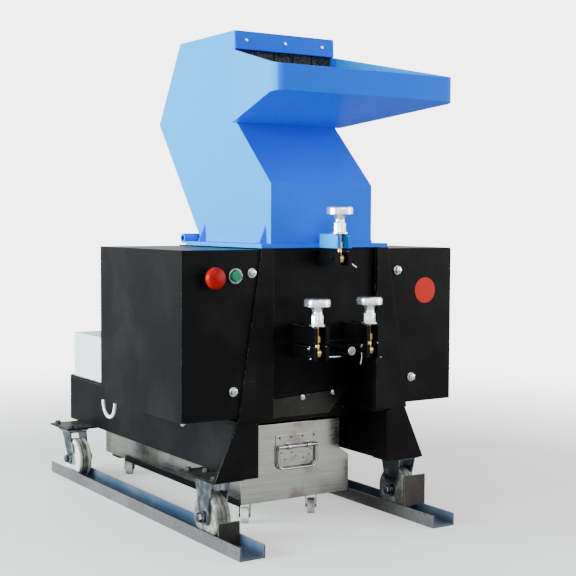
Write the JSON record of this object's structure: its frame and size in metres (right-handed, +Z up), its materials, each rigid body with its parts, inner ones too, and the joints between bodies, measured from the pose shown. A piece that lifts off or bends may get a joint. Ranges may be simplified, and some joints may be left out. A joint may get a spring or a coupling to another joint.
{
  "type": "plastic crusher",
  "caption": "Small granulator on wheels and rails: blue tilting feed hopper with tray, black cutting chamber, belt guards and a stainless roll-out bin.",
  "frame": {"origin": "on the ground, in the middle of the overall footprint", "axes": "+X to the right seen from the front, -Y to the front with the feed tray, +Z up"},
  "size_m": [0.624, 0.954, 0.9753],
  "materials": {
    "mill_steel": "worn mill steel",
    "black_paint": "semi-gloss with handling marks",
    "zinc_steel": "zinc plated",
    "nylon": "matt with dirty tread",
    "tool_steel": "ground",
    "stainless": "polished",
    "yellow_zinc": "yellow zinc",
    "knob_silver": "bright turned",
    "red_plastic": "gloss",
    "green_plastic": "gloss",
    "blue_paint": "gloss paint",
    "black_rubber": "smooth",
    "white_paint": "powder coat",
    "motor_paint": "gloss paint",
    "white_cable": "smooth"
  },
  "bodies": {
    "frame": {"rail_left": "mill_steel", "rail_right": "mill_steel", "wheel_chocks": "black_paint", "castor_plates": "zinc_steel", "front_castor_forks": "zinc_steel", "rear_castor_forks": "zinc_steel", "base_side_left": "black_paint", "base_side_right": "black_paint", "base_leg_left": "black_paint", "base_leg_right": "black_paint", "base_front": "black_paint", "base_rear": "black_paint", "deck_plate": "black_paint", "upper_leg_left": "black_paint", "upper_leg_right": "black_paint", "chamber_side_left": "black_paint", "chamber_side_right": "black_paint", "chamber_front": "black_paint", "chamber_rear": "black_paint", "rotor": "tool_steel", "fixed_knives": "tool_steel", "screen": "tool_steel", "screen_cradle": "black_paint", "cradle_handle": "zinc_steel", "deflector_plate": "stainless", "clamp_ears": "black_paint", "guard_left": "black_paint", "guard_right": "black_paint", "button_bezels": "zinc_steel", "control_cabinet": "white_paint", "motor": "motor_paint", "cable_loop": "white_cable"},
    "hopper": {"hopper_shell": "blue_paint", "hopper_flange": "blue_paint", "hopper_tray": "blue_paint", "guard_strip": "blue_paint", "curtain": "black_rubber"},
    "top_clamp": {"swing_bolt_top": "yellow_zinc", "knob_top": "knob_silver"},
    "left_clamp": {"swing_bolt_left": "yellow_zinc", "knob_left": "knob_silver"},
    "right_clamp": {"swing_bolt_right": "yellow_zinc", "knob_right": "knob_silver"},
    "bin": {"bin_box": "stainless", "bin_frame": "black_paint", "bin_castors": "nylon", "bin_castor_forks": "zinc_steel", "handle_plate": "zinc_steel"},
    "bail": {"bin_handle": "zinc_steel"},
    "stop_head": {"stop_button": "red_plastic"},
    "start_head": {"start_button": "green_plastic"},
    "wheel_fl": {"wheel_front_left": "nylon"},
    "wheel_fr": {"wheel_front_right": "nylon"},
    "wheel_rl": {"wheel_rear_left": "nylon"},
    "wheel_rr": {"wheel_rear_right": "nylon"}
  },
  "joints": [
    {"name": "hopper_tilt", "type": "hinge", "parent": "frame", "child": "hopper", "pos_m": [0, -0.027, 0.5663], "axis": [-1, 0, 0], "range_deg": [0, 90]},
    {"name": "top_bolt_swing", "type": "hinge", "parent": "frame", "child": "top_clamp", "pos_m": [0, -0.384, 0.533], "axis": [1, 0, 0], "range_deg": [0, 100]},
    {"name": "left_bolt_swing", "type": "hinge", "parent": "frame", "child": "left_clamp", "pos_m": [-0.06, -0.399, 0.358], "axis": [1, 0, 0], "range_deg": [0, 100]},
    {"name": "right_bolt_swing", "type": "hinge", "parent": "frame", "child": "right_clamp", "pos_m": [0.06, -0.399, 0.358], "axis": [1, 0, 0], "range_deg": [0, 100]},
    {"name": "bin_roll", "type": "slide", "parent": "frame", "child": "bin", "axis": [0, -1, 0], "range_m": [0, 0.4]},
    {"name": "bail_lift", "type": "hinge", "parent": "bin", "child": "bail", "pos_m": [0, -0.244, 0.153], "axis": [-1, 0, 0], "range_deg": [0, 90]},
    {"name": "stop_press", "type": "slide", "parent": "frame", "child": "stop_head", "axis": [0, 1, 0], "range_m": [0, 0.005], "stiffness_N_per_m": 400},
    {"name": "start_press", "type": "slide", "parent": "frame", "child": "start_head", "axis": [0, 1, 0], "range_m": [0, 0.004], "stiffness_N_per_m": 300},
    {"name": "wheel_fl_spin", "type": "hinge", "parent": "frame", "child": "wheel_fl", "pos_m": [-0.22, -0.287, 0.049], "axis": [1, 0, 0], "continuous": true},
    {"name": "wheel_fr_spin", "type": "hinge", "parent": "frame", "child": "wheel_fr", "pos_m": [0.22, -0.287, 0.049], "axis": [1, 0, 0], "continuous": true},
    {"name": "wheel_rl_spin", "type": "hinge", "parent": "frame", "child": "wheel_rl", "pos_m": [-0.22, 0.359, 0.049], "axis": [1, 0, 0], "continuous": true},
    {"name": "wheel_rr_spin", "type": "hinge", "parent": "frame", "child": "wheel_rr", "pos_m": [0.22, 0.359, 0.049], "axis": [1, 0, 0], "continuous": true}
  ]
}
